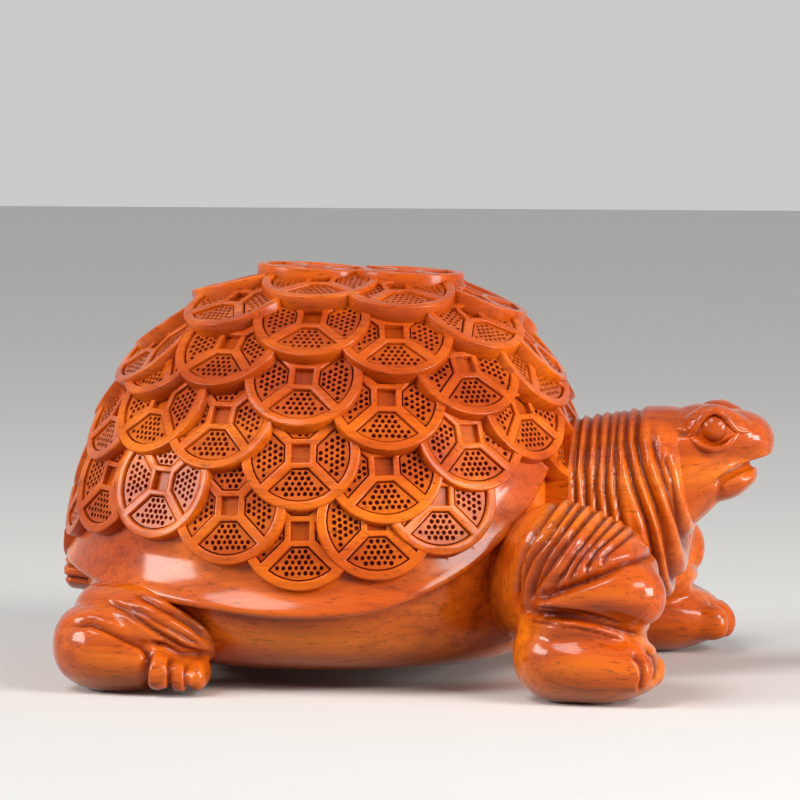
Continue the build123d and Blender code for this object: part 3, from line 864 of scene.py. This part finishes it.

# Eyes
# Round eyeballs of the same wood, each in a groove between an upper and a lower lid that meet in a
# point in front and behind. The ball is a little darker all over, and painted shade darkens it towards
# its rim, where the lids close on it.
eye_x, eye_y, eye_z = 84.5, 9.9, 70.9
eyeball_radius, eyeball_depth = 4.7, 5.0
lid_fatness = 1.2
for side, eye_node in ((-1, "eye_right"), (1, "eye_left")):
    ball = bmesh.new()
    bmesh.ops.create_icosphere(ball, subdivisions=4, radius=1.0)
    size = Matrix.Diagonal((eyeball_radius * MM, eyeball_depth * MM, eyeball_radius * MM, 1))
    bmesh.ops.transform(ball, verts=ball.verts, matrix=size)
    bmesh.ops.translate(ball, verts=ball.verts, vec=(eye_x * MM, side * eye_y * MM, eye_z * MM))
    ball_mesh = smooth_mesh(ball, eye_node + "_polished")
    from_middle = np.linalg.norm(points_of(ball_mesh)[:, [0, 2]] - (eye_x, eye_z), axis=1)
    # Painted shade: a little darkening all over the ball, growing strongly towards its rim under the lids.
    set_recess(ball_mesh, 0.22 + 0.68 * np.clip((from_middle - 2.9) / 1.2, 0, 1))
    finished(eye_node + "_polished", ball_mesh, plain_rosewood, eye_node)

    lids = bmesh.new()
    massed_lids = (
        ((76.6, 11.0, 68.3, 0.35), (78.6, 12.2, 69.2, 0.75), (80.2, 13.0, 72.3, 0.95),
         (82.2, 13.3, 74.7, 1.0), (84.6, 13.3, 75.7, 1.0), (87.0, 13.1, 74.6, 1.0),
         (89.0, 12.5, 72.2, 0.95), (91.0, 11.6, 70.2, 0.8), (94.0, 10.2, 69.8, 0.35)),
        ((77.2, 11.2, 68.2, 0.35), (79.4, 12.6, 67.2, 0.75), (81.6, 13.4, 65.7, 0.9),
            (84.8, 13.7, 65.0, 0.95),
         (87.8, 13.2, 65.8, 0.9), (89.8, 12.4, 67.8, 0.75), (91.2, 11.6, 69.6, 0.35)),
    )
    for lid in massed_lids:
        for step in range(61):
            x, y, z, radius = woven(lid, step / 60)
            bead_size = Matrix.Scale(lid_fatness * radius * MM, 4)
            bead = Matrix.Translation((x * MM, side * y * MM, z * MM)) @ bead_size
            bmesh.ops.create_icosphere(lids, subdivisions=2, radius=1.0, matrix=bead)
    lid_mesh = evened(lids, "eyelids_" + ("right" if side < 0 else "left"), 0.22, 6)
    lid_piece = bpy.data.objects.new(lid_mesh.name, lid_mesh)
    lid_mesh.materials.append(plain_rosewood)
    scene.collection.objects.link(lid_piece)
    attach(lid_piece, "root")

# Front legs
# Each is a shoulder with curved skin folds, a smooth round elbow that points forward, and a fat foot
# with four blunt toes. The left foot stands a little further forward than the right.
arm_rows = (
    (28.0, -29.0, 29.8, 14.9, 14.9), (34.4, -34.6, 30.6, 18.6, 18.0), (39.6, -41.6, 32.2, 21.0, 19.6),
    (47.9, -49.0, 35.6, 21.6, 18.4), (56.9, -52.6, 36.4, 18.6, 14.8), (64.4, -54.2, 35.5, 16.0, 12.2),
    (68.9, -55.0, 34.4, 12.0, 9.0), (71.6, -55.4, 33.6, 8.0, 5.6),
)
elbow_rows = (
    (43.0, -60.5, 27.2, 9.6, 3.0), (50.0, -62.2, 28.8, 9.9, 4.4), (57.0, -63.2, 30.4, 9.8, 6.2),
    (64.0, -63.8, 31.0, 9.3, 8.0), (69.2, -63.2, 30.2, 7.8, 8.4), (72.0, -62.2, 29.2, 5.0, 6.2),
)
shank_rows = (
    (38.5, -46.0, 20.0, 16.0, 9.0), (46.0, -51.0, 21.0, 18.5, 8.5), (55.0, -54.0, 22.0, 17.0, 8.0),
    (63.0, -55.0, 22.0, 14.0, 8.0), (67.5, -55.5, 21.0, 10.0, 6.5),
)
foot_rows = (
    (37.8, -53.6, 13.4, 6.6, 6.4), (39.8, -54.6, 12.6, 11.0, 10.0), (44.5, -56.0, 12.0, 14.2, 11.9),
    (52.0, -57.6, 11.4, 15.2, 11.5), (59.5, -58.2, 10.8, 15.0, 10.8), (65.5, -58.6, 10.4, 13.8, 9.0),
    (70.0, -58.8, 10.0, 11.8, 6.8),
)
arm_folds = (
    (0.94, 1.6, ((50.2, 60.0), (45.2, 54.0), (40.4, 46.5), (36.8, 40.5), (35.0, 35.0), (34.6, 25.4))),
    (0.77, 1.4, ((53.6, 60.0), (49.0, 52.6), (43.6, 44.4), (39.5, 39.5), (37.1, 34.1), (35.9, 25.7))),
    (0.83, 1.5, ((57.0, 60.0), (52.0, 52.5), (45.7, 43.4), (42.1, 37.4), (40.0, 32.6), (38.8, 25.9))),
    (0.77, 1.4, ((60.6, 59.0), (55.6, 51.7), (50.1, 44.9), (45.9, 38.9), (42.3, 34.0), (39.8, 29.2))),
    (0.77, 1.4, ((63.6, 57.0), (58.6, 50.1), (52.6, 42.1), (49.0, 36.0), (46.0, 31.8))),
    (0.72, 1.2, ((66.0, 55.0), (61.0, 49.0), (55.1, 42.2), (52.1, 37.4), (50.3, 33.8))),
    (0.72, 1.2, ((68.6, 53.0), (63.6, 47.6), (58.0, 42.8), (55.7, 38.6), (55.1, 35.6))),
    (0.66, 1.1, ((71.0, 50.0), (66.0, 45.9), (60.4, 41.7), (59.8, 38.1))),
    (1.00, 1.3, ((75.0, 39.6), (70.9, 40.4), (65.6, 39.2), (60.3, 36.6), (53.7, 33.9), (46.6, 31.0),
        (39.6, 28.6))),
)
foot_folds = (
    (1.10, 1.5, ((36.4, 25.2), (44.6, 24.8), (51.7, 24.8), (57.7, 23.6), (63.7, 21.2), (68.4, 19.4),
        (72.0, 18.2))),
    (0.60, 1.1, ((67.2, 15.4), (70.0, 12.6), (70.6, 9.0), (69.4, 4.6))),
    (0.50, 0.9, ((70.4, 16.2), (73.0, 13.6), (73.8, 10.4), (73.0, 6.8))),
    (0.50, 0.5, ((39.6, 27.2), (47.0, 27.0), (54.0, 26.2), (60.0, 24.6), (66.0, 22.4))),
    (0.50, 0.5, ((38.6, 22.8), (45.4, 22.6), (52.4, 22.0), (59.0, 20.4), (65.0, 18.2))),
)


def stand_flat(data):
    """Flattens a sole on the floor."""
    points = points_of(data)
    points[:, 2] = np.maximum(points[:, 2], 0.0)
    put_points(data, points)


toe_places = ((71.2, -68.2), (73.6, -62.2), (74.6, -56.0), (73.0, -50.0))
for side, advance, reach, leg_node in ((-1, 0.0, 0.0, "front_leg_right"), (1, 7.0, 3.4, "front_leg_left")):
    leg_clay = bmesh.new()
    for rows, shift, flatness in (
        (arm_rows, 0.0, 0.3), (elbow_rows, 0.0, 0.8), (shank_rows, advance / 2, 0.5),
            (foot_rows, advance, 0.6),
    ):
        placed = [(x + shift, -side * y, z, w, h) for x, y, z, w, h in rows]
        massed(leg_clay, placed, steps=32, flatness=flatness)
    for toe_x, toe_y in toe_places:
        tip = toe_x + advance + reach
        massed(leg_clay, (
            (tip - 9.0 - reach, -side * toe_y, 9.6, 3.5, 5.8), (tip - 4.6, -side * toe_y, 9.4, 3.6, 5.4),
            (tip - 2.2, -side * toe_y, 9.0, 3.3, 4.6), (tip - 1.4, -side * toe_y, 8.8, 2.6, 3.6),
        ), steps=12, flatness=0.75)
    leg_mesh = evened(leg_clay, leg_node + "_carved", 0.7, 9)
    cut_folds(leg_mesh, arm_folds, side=side)
    moved_folds = [(w, d, [(x + advance, z) for x, z in line]) for w, d, line in foot_folds]
    cut_folds(leg_mesh, moved_folds, side=side)
    stand_flat(leg_mesh)
    finished(leg_node + "_carved", leg_mesh, plain_rosewood, leg_node)

# Rear legs
# Each is a folded thigh with slanting skin folds over a fat round foot. Its four blunt toes point
# outwards, and the fourth lies behind the third.
thigh_rows = (
    (-86.6, -41.2, 20.2, 7.6, 6.0), (-82.4, -43.2, 19.8, 11.6, 9.2), (-71.5, -47.3, 19.1, 14.4, 11.2),
    (-61.0, -49.6, 18.0, 13.8, 10.6), (-53.6, -49.0, 16.0, 9.8, 7.6), (-49.4, -46.4, 14.2, 6.0, 5.2),
)
rear_foot_rows = (
    (-89.4, -49.4, 12.8, 7.8, 6.6), (-87.2, -49.4, 12.6, 12.8, 10.4), (-80.2, -49.2, 12.2, 17.4, 12.6),
    (-72.0, -48.6, 10.8, 18.0, 11.4), (-66.5, -49.4, 9.6, 16.4, 9.0), (-60.0, -50.0, 8.4, 12.5, 7.4),
    (-55.6, -49.6, 7.4, 9.0, 6.0),
)
rear_folds = (
    (0.95, 1.5, ((-88.0, 18.6), (-85.6, 19.6), (-80.7, 20.2), (-76.8, 19.0), (-71.3, 16.4),
        (-66.4, 14.3), (-64.4, 12.0), (-65.2, 8.3), (-66.0, 1.0))),
    (0.80, 1.1, ((-64.6, 14.8), (-60.4, 14.2), (-56.6, 11.6), (-49.0, 10.4))),
    (0.48, 1.0, ((-58.8, 11.6), (-58.4, 7.0), (-59.0, 1.0))),
    (0.45, 0.9, ((-54.2, 9.6), (-54.1, 5.0), (-54.4, 1.0))),
    (0.80, 1.2, ((-78.0, 25.2), (-72.0, 23.6), (-66.9, 20.8), (-61.0, 17.0), (-55.6, 13.2), (-50.0, 11.2))),
    (0.60, 0.8, ((-72.0, 25.0), (-66.0, 22.6), (-60.4, 19.6), (-56.0, 17.0), (-51.0, 13.0))),
    (0.70, 0.9, ((-69.6, 27.4), (-64.4, 25.6), (-58.6, 22.8), (-53.6, 19.2), (-49.4, 14.6))),
    (0.60, 0.8, ((-60.6, 26.6), (-55.0, 23.2), (-50.2, 19.0), (-46.6, 13.6))),
)
rear_toes = (
    (1.00, ((-62.4, -56.5, 7.6, 4.6, 5.6), (-62.2, -61.0, 7.4, 4.6, 5.5), (-62.0, -64.0, 6.9, 4.0, 4.9))),
    (0.88, ((-56.6, -55.5, 6.4, 3.9, 4.9), (-56.4, -60.0, 6.0, 3.8, 4.6), (-56.3, -62.6, 5.6, 3.4, 4.2))),
    (0.80, ((-52.2, -52.5, 5.9, 3.5, 4.5), (-52.1, -57.0, 5.6, 3.4, 4.3), (-52.0, -59.6, 5.2, 2.9, 3.9))),
    (0.80, ((-53.0, -44.5, 5.2, 3.0, 3.8), (-52.6, -46.5, 5.0, 2.9, 3.7), (-52.3, -48.0, 4.6, 2.4, 3.3))),
)
for side, leg_node in ((-1, "rear_leg_right"), (1, "rear_leg_left")):
    leg_clay = bmesh.new()
    massed(leg_clay, [(x, -side * y, z, w, h) for x, y, z, w, h in thigh_rows], steps=34, flatness=0.5)
    massed(leg_clay, [(x, -side * y, z, w, h) for x, y, z, w, h in rear_foot_rows], steps=32, flatness=0.6)
    for flatness, toe in rear_toes:
        massed(leg_clay, [(x, -side * y, z, w, h) for x, y, z, w, h in toe], steps=10, flatness=flatness)
    leg_mesh = evened(leg_clay, leg_node + "_carved", 0.7, 8)
    cut_folds(leg_mesh, rear_folds, side=side)
    stand_flat(leg_mesh)
    finished(leg_node + "_carved", leg_mesh, plain_rosewood, leg_node)

# Tail
# The short blunt tail under the rear of the rim, cut across with ridges.
tail_clay = bmesh.new()
massed(tail_clay, (
    (-99.4, 0, 27.8, 5.2, 3.4), (-98.4, 0, 27.7, 7.8, 5.4), (-95.5, 0, 27.6, 8.4, 5.8),
        (-91.0, 0, 27.5, 9.2, 6.4),
    (-86.5, 0, 27.5, 9.6, 6.6),
), steps=20, flatness=0.3)
tail_mesh = evened(tail_clay, "tail_carved", 0.45, 8)
cut_folds(tail_mesh, (
    (0.55, 0.9, ((-101.0, 29.8), (-96.0, 29.4), (-90.0, 28.4))),
    (0.55, 0.9, ((-101.0, 26.2), (-96.0, 25.8), (-90.0, 25.0))),
))
finished("tail_carved", tail_mesh, plain_rosewood, "tail")
